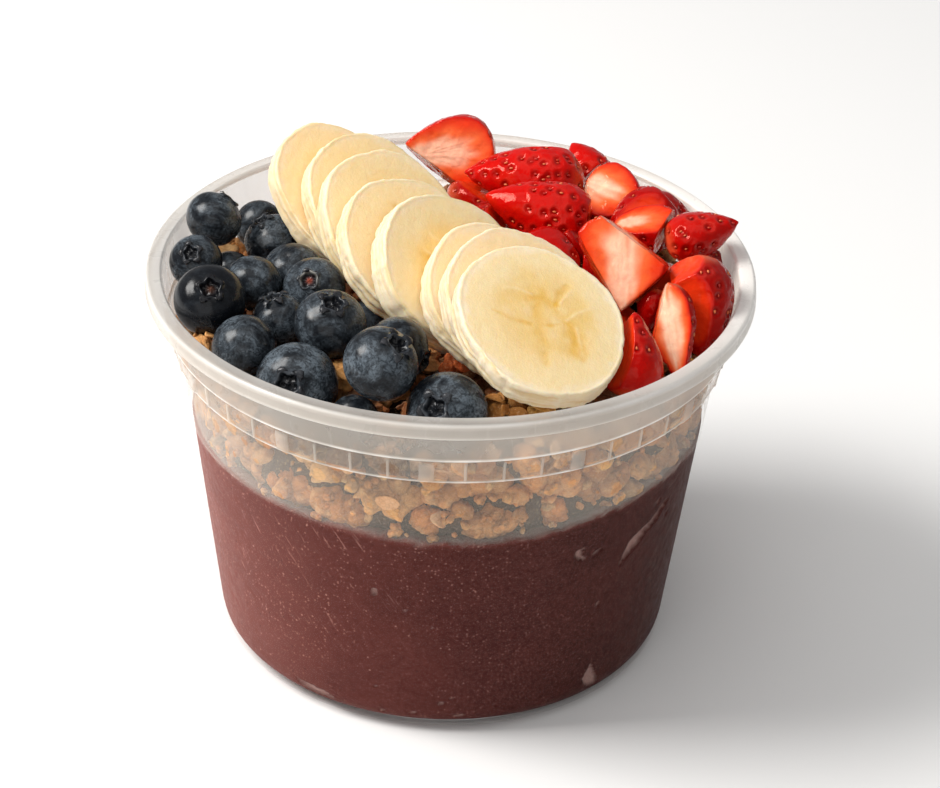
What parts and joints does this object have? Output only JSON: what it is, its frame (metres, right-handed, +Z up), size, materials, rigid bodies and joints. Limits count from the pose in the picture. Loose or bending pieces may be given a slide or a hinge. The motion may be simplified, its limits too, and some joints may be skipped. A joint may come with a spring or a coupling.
{
  "type": "acai bowl",
  "caption": "Acai bowl in a round translucent tub: purple acai base under crunchy granola, topped with blueberries, a fanned row of banana slices and cut strawberries.",
  "frame": {"origin": "centre of the tub's foot ring, on the surface that it stands on", "axes": "+Z up, -Y to the front, with the blueberries on the -X side and the strawberries on the +X side"},
  "size_m": [0.117, 0.117, 0.0945],
  "materials": {
    "frosted_plastic": "translucent, milky, satin",
    "acai_puree": "frozen puree, matt to satin",
    "granola": "rough baked oats",
    "blueberry_skin": "dark skin with a waxy bloom",
    "banana_flesh": "moist, pale",
    "strawberry": "wet, glossy"
  },
  "bodies": {
    "root": {"acai": "acai_puree", "banana_1": "banana_flesh", "banana_2": "banana_flesh", "banana_3": "banana_flesh", "banana_4": "banana_flesh", "banana_5": "banana_flesh", "banana_6": "banana_flesh", "banana_7": "banana_flesh", "banana_8": "banana_flesh", "blueberry_01": "blueberry_skin", "blueberry_02": "blueberry_skin", "blueberry_03": "blueberry_skin", "blueberry_04": "blueberry_skin", "blueberry_05": "blueberry_skin", "blueberry_06": "blueberry_skin", "blueberry_07": "blueberry_skin", "blueberry_08": "blueberry_skin", "blueberry_09": "blueberry_skin", "blueberry_10": "blueberry_skin", "blueberry_11": "blueberry_skin", "blueberry_12": "blueberry_skin", "blueberry_13": "blueberry_skin", "blueberry_14": "blueberry_skin", "blueberry_15": "blueberry_skin", "blueberry_16": "blueberry_skin", "blueberry_17": "blueberry_skin", "blueberry_18": "blueberry_skin", "container": "frosted_plastic", "granola": "granola", "strawberry_01": "strawberry", "strawberry_02": "strawberry", "strawberry_03": "strawberry", "strawberry_04": "strawberry", "strawberry_05": "strawberry", "strawberry_06": "strawberry", "strawberry_07": "strawberry", "strawberry_08": "strawberry", "strawberry_09": "strawberry", "strawberry_10": "strawberry", "strawberry_11": "strawberry", "strawberry_12": "strawberry", "strawberry_13": "strawberry", "strawberry_14": "strawberry", "strawberry_15": "strawberry", "strawberry_16": "strawberry", "strawberry_17": "strawberry", "strawberry_18": "strawberry", "strawberry_19": "strawberry", "strawberry_20": "strawberry", "strawberry_21": "strawberry", "strawberry_22": "strawberry", "strawberry_23": "strawberry", "strawberry_24": "strawberry", "strawberry_25": "strawberry"}
  },
  "joints": []
}
